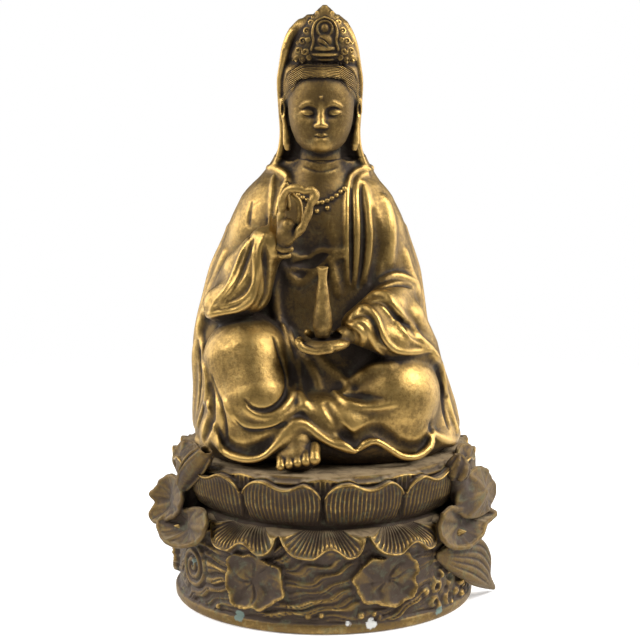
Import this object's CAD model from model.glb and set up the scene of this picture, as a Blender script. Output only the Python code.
"""A cast brass Guanyin seated at ease on a lotus plinth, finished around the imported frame.

The figure and the leaves at the plinth's sides are modelled as in clay: lumps, limbs and lofted bodies are
joined or cut with soft seams on a fine grid of signed distances, folds are laid on the surface, and the skin of
the result is the mesh. The plinth's petals and drum are drawn in columns round the axis. Lengths in the clay are
millimetres, with the seat at height 0 for the figure and the ground for the plinth.
"""
import math

import bpy
import numpy as np
import openvdb
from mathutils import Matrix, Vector


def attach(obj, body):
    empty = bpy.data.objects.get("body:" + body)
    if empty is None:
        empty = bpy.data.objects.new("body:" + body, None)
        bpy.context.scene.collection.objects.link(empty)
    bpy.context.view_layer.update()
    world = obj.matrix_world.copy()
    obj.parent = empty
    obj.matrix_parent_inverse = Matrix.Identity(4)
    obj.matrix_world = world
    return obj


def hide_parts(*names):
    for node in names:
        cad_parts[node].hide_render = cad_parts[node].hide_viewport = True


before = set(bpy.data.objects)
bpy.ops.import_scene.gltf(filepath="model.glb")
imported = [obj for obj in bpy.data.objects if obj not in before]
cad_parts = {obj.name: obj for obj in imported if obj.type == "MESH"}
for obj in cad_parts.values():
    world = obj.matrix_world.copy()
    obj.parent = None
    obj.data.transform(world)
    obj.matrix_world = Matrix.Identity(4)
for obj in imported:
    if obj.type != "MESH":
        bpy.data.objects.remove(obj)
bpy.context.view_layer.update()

MM = 0.001
PLINTH_HEIGHT = 78.0
JOINT_GAP = 0.3
SEAT = PLINTH_HEIGHT + JOINT_GAP
FAR = 1000.0

# Grid steps of the clay in millimetres, and how many triangles a piece may keep.
ROBE_STEP = 0.55
FINE_STEP = 0.36
PLINTH_STEP = 0.6
SHELTER_STEP = 1.5
MANY_TRIANGLES = 195000
FEW_TRIANGLES = 60000


def mix(a, b, t):
    return a + (b - a) * t


def smooth(t):
    return t * t * (3 - 2 * t)


def bump(share):
    """A rounded bump of height 1 at a distance from its middle, in shares of its reach."""
    return np.where(np.abs(share) < 1, (1 - share * share) ** 2, 0)


def chance(n, salt):
    """A repeatable number from 0 to 1 for each whole number."""
    return np.abs(np.sin(n * 12.9898 + salt * 78.233) * 43758.5453) % 1


def between(a, b, c, d, t):
    """The smooth way from b to c, at a share t, that comes from a and goes on to d."""
    return b + 0.5 * t * (c - a + t * (2 * a - 5 * b + 4 * c - d + t * (3 * (b - c) + d - a)))


def curve(points, spacing):
    """A smooth curve through points of any dimension, as evenly spaced points."""
    points = np.array(points, float)
    ends = 2 * points[0] - points[1], 2 * points[-1] - points[-2]
    p = np.vstack([ends[0], points, ends[1]])
    t = np.linspace(0, 1, 24, endpoint=False)[:, None]
    runs = [between(a, b, c, d, t) for a, b, c, d in zip(p, p[1:], p[2:], p[3:])]
    fine = np.vstack(runs + [points[-1:]])
    gone = np.concatenate([[0], np.cumsum(np.linalg.norm(np.diff(fine, axis=0), axis=1))])
    steps = max(3, round(gone[-1] / spacing))
    even = np.linspace(0, gone[-1], steps + 1)
    return np.stack([np.interp(even, gone, fine[:, n]) for n in range(points.shape[1])], axis=1)


def evened(run):
    """A run of values, each averaged with its neighbours. A missing one stays missing and isn't counted."""
    wide = np.pad(run, 1, constant_values=np.nan)
    trio = np.stack([wide[:-2], wide[1:-1], wide[2:]])
    counted = np.where(np.isnan(trio), 0, trio).sum(0) / np.maximum((~np.isnan(trio)).sum(0), 1)
    return np.where(np.isnan(run), np.nan, counted)


def sampled(grid, low, step, places):
    """A grid's value at each place, between its nearest cells."""
    at = np.clip((places - low) / step, 0, np.array(grid.shape) - 1.001)
    first = at.astype(int)
    share = at - first
    value = np.zeros(len(places))
    for corner in np.ndindex(2, 2, 2):
        weight = np.prod(np.where(corner, share, 1 - share), axis=1)
        i, j, k = (first + corner).T
        value += weight * grid[i, j, k]
    return value


class Clay:
    """Signed distances on a grid, negative inside."""

    def __init__(self, low, high, step):
        self.low = np.array(low, float)
        self.step = step
        self.count = np.ceil((np.array(high) - self.low) / step).astype(int) + 1
        self.axes = [(low[n] + step * np.arange(self.count[n])).astype(np.float32) for n in range(3)]
        self.depth = np.full(self.count, FAR, np.float32)

    def window(self, low, high, margin):
        """Slices that hold a box with a margin, and the places in them."""
        first = np.floor((np.array(low) - margin - self.low) / self.step).astype(int)
        last = np.ceil((np.array(high) + margin - self.low) / self.step).astype(int) + 1
        first = np.clip(first, 0, self.count)
        last = np.clip(last, first, self.count)
        slices = tuple(slice(a, b) for a, b in zip(first, last))
        x, y, z = (axis[part] for axis, part in zip(self.axes, slices))
        return slices, (x[:, None, None], y[None, :, None], z[None, None, :])

    def blend(self, slices, form, softness, cut=False):
        """Joins a form to the clay, or cuts it away, with a seam rounded over the softness."""
        side = -1 if cut else 1
        old = side * self.depth[slices]
        joined = np.minimum(old, form)
        if softness:
            near = np.maximum(softness - np.abs(old - form), 0)
            joined -= near * near / (4 * softness)
        self.depth[slices] = side * joined

    def ball(self, centre, radii, softness, cut=False, turn=("z", 0)):
        """An ellipsoid, which may be turned about one axis through its middle, in degrees."""
        radii = np.full(3, radii, float) if np.isscalar(radii) else np.array(radii, float)
        reach = np.full(3, radii.max()) if turn[1] else radii
        slices, places = self.window(centre - reach, centre + reach, softness + 2 * self.step)
        p = [place - c for place, c in zip(places, centre)]
        first, second = {"x": (1, 2), "y": (2, 0), "z": (0, 1)}[turn[0]]
        c, s = math.cos(math.radians(turn[1])), math.sin(math.radians(turn[1]))
        p[first], p[second] = c * p[first] + s * p[second], c * p[second] - s * p[first]
        near = np.sqrt(sum((v / r) ** 2 for v, r in zip(p, radii)))
        slope = np.sqrt(sum((v / (r * r)) ** 2 for v, r in zip(p, radii)))
        form = np.where(slope > 0, near * (near - 1) / np.maximum(slope, 1e-9), -radii.min())
        self.blend(slices, form.astype(np.float32), softness, cut)

    def limb(self, points, radii, softness, cut=False):
        """A chain of round cones through points, with one radius at each."""
        self.sheet([points], [np.full(len(points), radii) if np.isscalar(radii) else radii], softness, cut)

    def sheet(self, rows, radii, softness, cut=False):
        """Chains of round cones side by side, near enough to make one sheet."""
        rows, radii = np.array(rows, float), np.array(radii, float)
        margin = softness + 2 * self.step
        reach = radii.max()
        slices, _ = self.window(rows.min((0, 1)) - reach, rows.max((0, 1)) + reach, margin)
        form = np.full([s.stop - s.start for s in slices], FAR, np.float32)
        starts, ends = rows[:, :-1].reshape(-1, 3), rows[:, 1:].reshape(-1, 3)
        for a, b, ra, rb in zip(starts, ends, radii[:, :-1].ravel(), radii[:, 1:].ravel()):
            wide = max(ra, rb)
            inner, _ = self.window(np.minimum(a, b) - wide, np.maximum(a, b) + wide, margin)
            own = tuple(slice(i.start - s.start, i.stop - s.start) for i, s in zip(inner, slices))
            p = [axis[part] - v for axis, part, v in zip(self.axes, inner, a)]
            px, py, pz = p[0][:, None, None], p[1][None, :, None], p[2][None, None, :]
            d = b - a
            t = np.clip((px * d[0] + py * d[1] + pz * d[2]) / max(d @ d, 1e-9), 0, 1)
            away = np.sqrt((px - t * d[0]) ** 2 + (py - t * d[1]) ** 2 + (pz - t * d[2]) ** 2)
            np.minimum(form[own], away - ra - (rb - ra) * t, out=form[own])
        self.blend(slices, form, softness, cut)

    def loft(self, stations, squareness, softness, cut=False):
        """A body through oval sections. Each station is height, left, right, front and back."""
        stations = np.array(stations, float)
        heights, last = stations[:, 0], len(stations) - 1
        low = [stations[:, 1].min(), stations[:, 3].min(), heights[0]]
        high = [stations[:, 2].max(), stations[:, 4].max(), heights[-1]]
        slices, (x, y, z) = self.window(low, high, softness + 2 * self.step)
        at = np.clip(z.ravel(), heights[0], heights[-1])
        n = np.clip(np.searchsorted(heights, at), 1, last)
        t = ((at - heights[n - 1]) / (heights[n] - heights[n - 1]))[:, None]
        near = (stations[np.clip(n + shift, 0, last), 1:] for shift in (-2, -1, 0, 1))
        section = between(*near, t)
        left, right, front, back = (v.astype(np.float32) for v in section.T)
        wide, deep = (right - left) / 2, (back - front) / 2
        u = np.abs(x - (left + right) / 2) / wide
        v = np.abs(y - (front + back) / 2) / deep
        rounded = (u ** squareness + v ** squareness) ** np.float32(1 / squareness)
        end = np.maximum(z - heights[-1], heights[0] - z)
        self.blend(slices, np.maximum((rounded - 1) * np.minimum(wide, deep), end), softness, cut)

    def turned(self, centre, profile, softness):
        """A turned form about an upright line, such as a vase: radii at heights."""
        heights, radii = np.array(profile, float).T
        reach = radii.max()
        low = [centre[0] - reach, centre[1] - reach, heights[0]]
        high = [centre[0] + reach, centre[1] + reach, heights[-1]]
        slices, (x, y, z) = self.window(low, high, softness + 2 * self.step)
        n = np.clip(np.searchsorted(heights, z.ravel()), 1, len(heights) - 1)
        t = smooth(np.clip((z.ravel() - heights[n - 1]) / (heights[n] - heights[n - 1]), 0, 1))
        radius = mix(radii[n - 1], radii[n], t)[None, None, :]
        beside = np.hypot(x - centre[0], y - centre[1]) - radius
        form = np.maximum(beside, np.maximum(z - high[2], low[2] - z))
        self.blend(slices, form.astype(np.float32), softness)

    def meet(self, points, side):
        """Where straight looks along one axis first meet the surface, or NaN. A point is x and z, or y and z
        from the left and right."""
        points = np.atleast_2d(points)
        along = 1 if side in ("front", "back") else 0
        forward = side in ("front", "left")
        across = 1 - along
        a = np.rint((points[:, 0] - self.low[across]) / self.step).astype(int)
        k = np.rint((points[:, 1] - self.low[2]) / self.step).astype(int)
        a = np.clip(a, 0, self.count[across] - 1)
        k = np.clip(k, 0, self.count[2] - 1)
        looks = self.depth[a, :, k] if along == 1 else self.depth[:, a, k].T
        looks = looks if forward else looks[:, ::-1]
        inside = looks < 0
        first = np.maximum(inside.argmax(1), 1)
        rows = np.arange(len(points))
        here, before = looks[rows, first], looks[rows, first - 1]
        place = first - np.clip(here / np.minimum(here - before, -1e-6), 0, 1)
        if not forward:
            place = self.count[along] - 1 - place
        return np.where(inside.any(1), self.low[along] + place * self.step, np.nan)

    def fold(self, points, wide, proud, side="front", softness=1.5, ends=0.25):
        """A roll of cloth laid on the surface along a curve seen from one side. It is widest in its middle,
        and sinks at its ends. A negative proud makes a groove instead."""
        path = curve(points, max(1.0, wide * 0.6))
        inward = 1 if side in ("front", "left") else -1
        levels = self.meet(path, side)
        for _ in range(3):
            levels = evened(levels)
        t = np.linspace(0, 1, len(path))
        swell = np.sqrt(np.maximum(np.sin(np.pi * t), 0))
        radii = wide * mix(ends, 1, swell)
        lift = mix(ends * abs(proud) - (1 - ends) * softness / 3, abs(proud), swell)
        middle = levels + inward * math.copysign(1, proud) * (radii - lift)
        laid = [path[:, 0], middle, path[:, 1]]
        if side in ("left", "right"):
            laid = [middle, path[:, 0], path[:, 1]]
        found = ~np.isnan(levels)
        if found.sum() > 1:
            self.limb(np.stack(laid, axis=1)[found], radii[found], softness, proud < 0)

    def flatten(self, height):
        """Cuts everything under a height away."""
        np.maximum(self.depth, height - self.axes[2], out=self.depth)

    def kept(self, low, high):
        """The clay between two heights, to be skinned."""
        part = Clay(self.low, self.low, self.step)
        part.depth = np.maximum(self.depth, np.maximum(low - self.axes[2], self.axes[2] - high))
        return part

    def normals(self, places):
        """The surface's direction at each place."""
        step = self.step
        ahead = [sampled(self.depth, self.low, step, places + step * side) for side in np.eye(3)]
        behind = [sampled(self.depth, self.low, step, places - step * side) for side in np.eye(3)]
        slope = np.stack(ahead, axis=1) - np.stack(behind, axis=1)
        return slope / np.maximum(np.linalg.norm(slope, axis=1, keepdims=True), 1e-9)


# The figure's carving: x to its left hand, y to its back, z up from the seat.

# The mantle, from the seat to the neck: height, then its left, right, front and back as seen from the front.
MANTLE = [
    [0, -60, 62, -46, 42],
    [6, -65, 68, -50, 46],
    [14, -65.5, 67, -48, 46],
    [30, -64.5, 62, -42, 44],
    [47, -65, 56, -34, 41],
    [60, -63, 50.5, -29, 39],
    [74, -59.5, 47.7, -26, 37],
    [90, -55.5, 45.5, -24, 35],
    [104, -49.6, 41.8, -23, 33],
    [114, -46.5, 39.3, -22, 31],
    [125, -40.6, 33.5, -19, 28],
    [132, -35, 28.5, -15, 26],
    [138, -29, 23, -10, 25],
    [144, -24, 20, -6, 24],
]

# The veil over the head, in the same order.
VEIL = [
    [134, -30, 26, -6, 27],
    [140, -27, 23, -3, 25],
    [148, -23.2, 19.2, -1, 22],
    [156, -21, 16.8, -1, 20],
    [166, -21.2, 16.8, -3, 20.5],
    [176, -22.8, 18.4, -5, 21.5],
    [184, -23.2, 18.8, -9, 21],
    [192, -21.4, 17.6, -13, 18.5],
    [200, -19.6, 16.4, -15, 15],
    [207, -17, 14.6, -15.5, 10],
    [213, -13.2, 11.6, -14.5, 4],
    [216.6, -8.6, 7.6, -13, -2],
]

# The veil's front edge, from beside the crown down to the shoulder, to be taken to either side.
VEIL_EDGE = [
    [10, -9, 213.5], [14.4, -11.4, 207], [16.5, -12, 201], [18.4, -10, 192], [19.6, -7.5, 184], [19, -4, 170],
    [18.4, -2, 158], [19.6, -1.5, 148.5], [22.6, 1, 140.4], [24.2, 6, 136],
]

# The hair, the window in it for the face, the face and the crown's panel, in the same order as the veil.
HAIR = [
    [162, -19, 16, -8, 14],
    [170, -20, 17, -12, 16],
    [176, -20.6, 17.6, -17.6, 16],
    [182, -20.8, 17.8, -22, 17],
    [187, -20.4, 17.4, -22.9, 17],
    [191, -19.4, 16.8, -23.2, 15],
    [195.6, -17, 15, -19, 12],
]
# The face's own sizes, and a height as a share of the way from its chin to its hairline.
FACE_MIDDLE = -1.5
FACE_HAIRLINE = 186
FACE_CHIN = 151.2
FACE_FRONT = -24.2


def up_face(share):
    return mix(FACE_CHIN, FACE_HAIRLINE, share)


HAIRLINE = [
    [up_face(0.138), -17.3, 14.3, -45, -8],
    [up_face(0.598), -17.8, 14.8, -45, -8],
    [up_face(0.799), -17.4, 14.4, -45, -8],
    [up_face(0.928), -15.4, 12.4, -45, -8],
    [up_face(1), -12.4, 9.4, -45, -8],
    [up_face(1.04), -7, 4, -45, -8],
]
# The face's front is given as places behind its foremost one.
FACE = [
    [up_face(share), left, right, FACE_FRONT + behind, 4]
    for share, left, right, behind in (
        (-0.046, -7.6, 4.6, 6.2), (0.011, -11, 8, 3), (0.109, -13.8, 10.8, 1.2), (0.282, -16.2, 13.2, 0),
        (0.483, -17.4, 14.4, -0.3), (0.713, -17.7, 14.7, -0.1), (0.885, -17, 14, 0.8), (1.029, -15, 12, 2.6),
        (1.115, -12, 9, 5.2),
    )
]
CROWN = [
    [193.2, -15, 15.4, -18.6, 0],
    [197, -16.2, 16.2, -21, 0],
    [203, -14, 14.4, -21.4, 0],
    [209, -11, 11.6, -20.6, 0],
    [214, -7.6, 8.2, -19.4, -2],
    [217, -5.4, 6, -18.2, -4],
    [219.5, -3, 3.6, -16.8, -6],
    [221.6, -0.9, 1.5, -15, -9],
]
# An ear from its top down to its long lobe, with its thickness.
EAR = [
    [[16.8, -9, 177], 1.2], [[18.4, -7, 174.4], 1.9], [[18.6, -6.4, 169], 1.7], [[17.6, -8, 163.6], 1.3],
    [[17, -8.8, 158], 1.8], [[16.6, -9, 153.6], 2.2], [[16.4, -9, 151.4], 1.6],
]
# The hair is combed from its parting, out and down to the temples, between an upper and a lower line: place
# across, then their heights.
COMBED = [[1.2, 194.5, 187.9], [9, 194.5, 185.9], [15.5, 190.5, 180.5], [18.6, 184, 174]]
LOCKS = 6  # on each side
LOCK_WIDTH = 1.5
HAIRS = 10  # fine strands over the same width

# The crown's seated figure, from its head down to its lotus: height and radii. A halo stands behind its head,
# and an arch round it.
CROWN_MIDDLE = 0.3
CROWN_FIGURE = [
    [210.8, [2, 1.6, 2.4]],
    [204.6, [3.9, 2, 3.7]],
    [201.4, [5.2, 2.2, 1.6]],
    [198.4, [6.4, 2.1, 1.2]],
    [195.9, [4.8, 1.9, 0.9]],
]
CROWN_ARCH = [[0, 216.4], [4.2, 214.2], [6, 209.6], [5.6, 204.6], [6.6, 200.6]]
HALO_RADIUS = 3.7
SASH_LINES = [[[-3.2, 207], [0, 205.6], [3, 202.6]], [[-3.4, 204.4], [0, 203], [1.6, 201.6]]]
# Curled scrolls on its left side: middle, reach and the angle where the curl ends outside, in degrees.
CROWN_CURLS = [
    [[6.6, 213.4], 1.6, 200], [[8.6, 209.4], 1.9, 160], [[10.6, 204.6], 2.1, 200], [[8, 205.8], 1.2, 20],
    [[12.6, 200], 1.9, 220], [[9.4, 200], 1.7, 0], [[13.6, 196], 1.5, 150], [[10.6, 195.8], 1.5, 30],
    [[7.4, 196.8], 1.3, 90], [[3.6, 218], 1.1, 230], [[12.8, 203.6], 1, 60], [[5.4, 216], 1, 80],
]
CROWN_BEAD = 0.7

# Folds of the robe: the curve seen from the front, its half width and how far it stands proud.
FRONT_FOLDS = [
    # The collar's roll, and the two thin lines of the right lapel.
    [[[-27.6, 140], [-24, 139.8], [-20, 138.6], [-17.6, 135.6], [-18, 131.4]], 1.7, 1.7],
    [[[-18, 136.4], [-20.4, 131.6], [-22.6, 123], [-23.8, 115], [-24.4, 107]], 1.3, 1.4],
    [[[-25, 137], [-25.9, 128], [-26.4, 119], [-26.6, 110]], 1.2, 0.8],
    # The left lapel: a thin rim, a rolled band and two ridges in the plane beside it.
    [
      [
        [23, 139.4], [19, 140], [15.2, 139], [12.3, 135.8],
        [11.3, 128.3], [11.1, 115.7], [11.2, 102], [11.8, 86],
      ],
      1.3, 1.6,
    ],
    [[[21.4, 137.6], [17.6, 136.2], [15.9, 131], [15.8, 120], [16, 108], [15.7, 97], [15, 85]], 1.7, 1.2],
    [[[19.6, 134], [21.3, 127], [22.6, 117.7], [22.8, 108], [21.5, 97.6], [19.2, 87]], 1.9, 1.2],
    [[[29.6, 126], [31.7, 120], [32.7, 109.5], [32, 94.6]], 2.4, 1.2],
    [[[27.6, 86.4], [32.4, 88.4], [37.6, 88.4], [44.4, 85.3]], 1.5, 1.4],
    # Right sleeve: an outer roll, a double rim that runs on as the mantle's edge, and a fold below the wrist.
    [[[-36.1, 108.9], [-39.1, 104.2], [-41.4, 97.7], [-44.4, 90.6], [-48.6, 82.6], [-55, 75]], 1.7, 1.4],
    [
      [
        [-29, 113], [-31.4, 105.8], [-32, 94.5], [-34, 84.4], [-37, 79], [-42.2, 75.7],
        [-50, 73.8], [-57, 71.2], [-60, 67], [-61, 61], [-60.8, 54], [-59, 48],
        [-57.6, 42], [-57.6, 34], [-59.4, 25], [-63, 13],
      ],
      1.4, 1.8,
    ],
    [[[-34.6, 108], [-34.2, 104], [-33.6, 97.6], [-34, 90], [-37, 84], [-42, 80], [-50, 76.8]], 1, 1.1],
    [[[-20.6, 97], [-24, 85], [-23.1, 70.2], [-17.7, 59.7], [-11, 53]], 1.8, 1.5],
    # Left sleeve: its outer roll, which runs on as the mantle's edge, a ridge, its rim and the lining's edge.
    [
      [
        [20.6, 80], [24, 82.4], [28.6, 83], [31.6, 81.4], [34.6, 76.7], [39.8, 69], [46.4, 60.8],
        [52.4, 54.2], [55.8, 48.5], [58.2, 41.7], [59.4, 34.9], [61, 26.8], [63.4, 18.6], [66.6, 9.6],
      ],
      1.9, 1.9,
    ],
    [[[28.4, 77], [31.6, 73.6], [36, 68.4], [42.3, 62], [49, 56.8]], 1.3, 0.9],
    [
      [
        [12.7, 73.4], [17.4, 77.4], [22, 77], [25.6, 72.9], [27.7, 66.9],
        [30.7, 60.9], [35.6, 56.6], [43.5, 54.6], [52, 54.4],
      ],
      1.4, 1.8,
    ],
    [[[13.4, 70.4], [17.6, 71.6], [20.6, 69.4], [22.6, 64.4], [25, 58.4], [29, 54]], 1.1, 1],
    [[[10.5, 70.5], [15.2, 69.2], [17.8, 67.4], [19, 63.8], [18.4, 58.8]], 1.3, 1.6],
    # Over the right knee and shin, and the cloth that falls beside them.
    [
      [
        [-38, 30.6], [-33.5, 27.4], [-29, 26.3], [-24.4, 27.2],
        [-19.4, 30.2], [-15.6, 35.6], [-15, 43.5], [-16.4, 52], [-20.4, 66],
      ],
      1.6, 1.3,
    ],
    [[[-17.2, 64], [-13.6, 50], [-12, 38], [-11, 30]], 1.6, 1.1],
    [
      [
        [-48, 33], [-46.2, 29], [-43, 25.4], [-38, 22.6],
        [-32, 21.8], [-26, 22.8], [-17.5, 27], [-8, 31.8],
      ],
      1.6, 1.3,
    ],
    [[[-57.2, 29.4], [-55.4, 24], [-53.5, 18.7], [-51.9, 14.1], [-50.6, 8]], 1.2, 1.1],
    # Over the left knee, and in the lap.
    [[[9, 34], [13, 38], [18.5, 42.8], [24.3, 46.8], [33.1, 48.8]], 2.6, 1.2],
    [[[5, 35.6], [8.5, 33.4], [12.6, 31.3], [18.5, 29.8], [25.8, 29.8], [34, 31.4]], 1.7, 1.7],
    [[[-12, 36], [-7, 27], [-1, 20.6], [6.8, 14.5], [14.1, 10]], 2, 1.2],
    [[[-12, 52], [-6, 44], [-2, 36]], 2, 1],
    [[[-4, 52], [4, 44], [12, 38.5]], 2, 0.9],
    # The dress across the chest and its knotted sash.
    [[[-25, 104], [-21, 100.5], [-15, 99.8], [-11, 98.2]], 1.4, 1.2],
    [
      [
        [11, 102], [3.8, 101.6], [-0.4, 102.2], [-4.3, 100.9],
        [-7.2, 98.9], [-10.6, 98.5], [-16.9, 96.8],
      ],
      1.3, 1.3,
    ],
    [[[10.6, 100], [5.5, 99], [2.1, 97.8], [-1.3, 94.6], [-5.5, 92], [-10.6, 92.7], [-17.4, 93.3]], 1.3, 1.3],
    [[[-20.6, 95], [-17, 89.4], [-11.8, 87], [-6.9, 89.5], [-2, 92]], 1.8, 1.2],
    [[[3, 98], [5, 90], [7, 80]], 1.6, 1.2],
]

# Grooves between them.
FRONT_GROOVES = [
    [[[18.4, 134.4], [18.4, 126], [19.2, 115.7], [19, 103], [18.2, 92.5], [16.8, 84]], 1.1, 1.1],
    [[[13.6, 133], [13.4, 124], [13.4, 110], [13.5, 97], [13.4, 86]], 0.9, 1],
    [[[24.9, 122], [26.6, 112], [26.8, 103], [25.8, 95], [23.4, 86.7]], 2.2, 1],
    [[[29, 85], [34, 85.6], [39, 85], [44.6, 82.4]], 1.2, 1.1],
    [[[-36, 125], [-37.1, 118.6], [-37, 113], [-35.4, 109]], 1, 0.6],
    [[[-34.6, 110.6], [-36.7, 103.6], [-38.7, 98], [-41.2, 91.5], [-45.6, 84.4], [-53, 77.4]], 1.3, 1.3],
    [[[-37.6, 108.7], [-40.2, 102.1], [-43.6, 94.2], [-48.4, 85.6], [-54.6, 77]], 1.3, 1.2],
    [[[-28.6, 108], [-28.4, 100.8], [-27.6, 92.4], [-28, 84], [-31, 77.4]], 1.6, 1.8],
    [[[24.4, 79.8], [28, 79.4], [31.4, 77], [36.8, 70], [43.6, 62.6], [49.6, 57.6]], 1.3, 1],
    [[[14.4, 73.4], [19, 74.8], [22.6, 73], [25, 68.4], [27, 62.4], [30.6, 57.8]], 1, 1],
    [[[56, 41], [57.4, 35], [58.4, 28.6], [60, 20.4], [62.2, 13]], 1.4, 1.8],
    [[[-55.4, 43.6], [-53.2, 36.8], [-50, 30.8], [-48.8, 25.4], [-48.1, 20], [-47.6, 12]], 1.3, 1.6],
    [[[-56.4, 40], [-55, 32], [-55.2, 25], [-57, 18], [-59.4, 11]], 2.2, 2.4],
    [[[-62.6, 50], [-62, 34], [-63.4, 20]], 1.2, 1],
    # The valley in the lap, and the one over the left shin.
    [[[0.9, 33], [6.8, 22.5], [12.6, 14.5], [18, 11]], 2.2, 1.2],
    [[[10.6, 35], [15, 34.8], [21, 34.6], [28, 34.6]], 1.4, 1],
    # The crease round the right knee, and the one under the shin.
    [
      [
        [-38.8, 36], [-35.1, 31.6], [-30.6, 29.9], [-26, 30.4],
        [-21.4, 33.1], [-18.5, 37.5], [-18.6, 44], [-21.2, 52.8], [-24.4, 63],
      ],
      1.2, 1.6,
    ],
    [[[-45, 27], [-41.4, 22], [-37, 19.6], [-31, 19.6], [-24, 21.2], [-18, 23.6]], 1.1, 1],
]

# Folds at the back, which the photograph doesn't show: the veil's own, and the mantle's, seen from the back.
BACK_FOLDS = [
    [[[-25, 141], [-14, 143.6], [-2, 144.4], [10, 143.6], [21, 141]], 1.7, 1.3],
    [[[-10, 204], [-13, 180], [-15, 150]], 2, 1.2],
    [[[-2, 208], [-4, 180], [-4, 146]], 2, 1.2],
    [[[7, 205], [8, 180], [9, 150]], 2, 1.2],
    [[[-28, 138], [-16, 131], [-2, 128.6], [12, 131], [24, 138]], 2.2, 1.6],
    [[[-34, 124], [-14, 106], [8, 105], [31, 122]], 2.8, 1.8],
    [[[-42, 108], [-18, 82], [12, 81], [39, 106]], 3, 1.9],
    [[[-48, 88], [-22, 58], [14, 56], [45, 86]], 3, 1.9],
    [[[-36, 118], [-42, 84], [-44, 46], [-46, 8]], 3, 1.8],
    [[[34, 116], [41, 82], [44, 46], [47, 8]], 3, 1.8],
    [[[-18, 48], [-24, 26], [-27, 7]], 3, 1.7],
    [[[-2, 44], [-3, 24], [-4, 7]], 3, 1.7],
    [[[16, 47], [21, 26], [24, 7]], 3, 1.7],
]

# The mantle's folds at its sides: points are y and z.
SIDE_FOLDS = [
    [[[9, 108], [9, 92], [6, 72], [12, 40], [16, 8]], 2.8, 1.4],
    [[[-6, 98], [-7, 86], [-8, 72], [-4, 44], [-2, 10]], 2.6, 1.4],
    [[[23, 100], [26, 80], [28, 44], [32, 8]], 2.8, 1.4],
]

# Creases round the neck, and the necklace that hangs from the lapels, with its drops.
NECK_CREASES = [[[-10.5, 146.4], [-2, 144.6], [7, 146]], [[-11.5, 142.6], [-2, 140.4], [8, 142]]]
NECKLACE = [[-18.5, 134], [-12, 128.6], [-3.5, 125.6], [4, 127.6], [10, 132]]
NECKLACE_DROPS = [[-3.5, 121.6], [1.6, 123], [-8.4, 122.8]]
BEAD = 1.3

# The robe's lower rim, waved as it lies round the foot and along the seat: points in space.
HEM = [
    [-63, -18, 5], [-59, -33, 7.5], [-54, -43, 13.6],
    [-51.6, -48, 10.6], [-48.4, -51.5, 7.4], [-43.5, -54.5, 5.6],
    [-37, -57, 5], [-31, -58, 6.2], [-26.4, -58.2, 9.2],
    [-22.6, -57.8, 13.6], [-19.6, -56.8, 18.4], [-16.4, -55.4, 22],
    [-12.4, -55, 23], [-8.2, -55.2, 21.8], [-4.4, -56, 18.6],
    [0, -57.4, 15.4], [4.6, -58, 13], [14, -57.5, 10],
    [19.5, -56.5, 12.4], [25, -55.5, 14], [31, -54.5, 10.5],
    [38, -52.5, 5.6], [46, -48, 4.4], [52.5, -42.5, 8.2],
    [53, -38, 13], [58, -31, 9], [64, -20, 4], [67, -6, 5],
]
HEM_RADIUS = 1.7

# The vase's radii by height.
VASE = [[64, 3.4], [66, 4], [70, 4.8], [74, 4.6], [84, 3.2], [93, 2.1], [97.2, 2.5], [98.6, 2.9]]


def mirrored(points, side, middle):
    """Points taken to one side of an upright middle plane."""
    return [[middle + side * x, *rest] for x, *rest in points]


def model_body(clay):
    clay.loft(MANTLE, 2.4, 0)
    # The arms stand out from the back, with a soft hollow between.
    for side in (-1, 1):
        arm = [[26, 7, 119], [36, 6, 84], [41, 2, 62]]
        hollow = [[27, 38, 122], [31, 46, 88], [34, 54, 50]]
        clay.limb(mirrored(arm, side, -3.5), [11, 13, 11], 5)
        clay.limb(mirrored(hollow, side, -3.5), [4, 6, 4], 9, cut=True)
    # Raised right leg: thigh, knee and shin under the robe.
    clay.limb([[-10, 10, 26], [-37, -30, 50]], [24, 20], 4)
    clay.limb([[-37, -31, 50], [-33, -42, 34]], [20.5, 17], 3)
    clay.limb([[-35, -38, 27], [-20, -45, 18]], [20, 15], 4)
    clay.limb([[-44, -31, 50], [-46, -34, 16]], [14, 13], 6)
    # Left leg, folded flat: thigh, knee and shin.
    clay.limb([[8, 8, 26], [34, -28, 31]], [24, 23.5], 4)
    clay.limb([[34, -31, 24], [4, -42, 17]], [19, 13], 4)
    clay.limb([[-16, -40, 22], [10, -42, 20]], [14, 14], 5)


def model_hem(clay):
    # Cloth spread under the shins, which the rim closes.
    clay.limb([[-48, -34, 13], [-36, -42, 12], [-26, -44, 16]], [13.5, 14, 13], 3)
    clay.limb([[-6, -42, 14], [16, -42, 12], [40, -34, 12]], [13.5, 13, 13.5], 3)
    clay.fold([[x, z + 4.6] for x, _, z in HEM[2:-3]], 2.4, -1.9, softness=4)
    clay.limb(curve(HEM, 3), HEM_RADIUS, 3.4)


def model_chest(clay):
    clay.ball([-6, -37, 106], [17.5, 17.5, 38], 1.5, cut=True)
    clay.ball([-4, -3, 110], [23, 17, 34], 2)
    clay.ball([-5, -6, 76], [21, 19, 24], 3)
    clay.limb([[-2.5, -3, 128], [-1.5, -7, 152]], [12.5, 9.6], 5)


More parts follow.
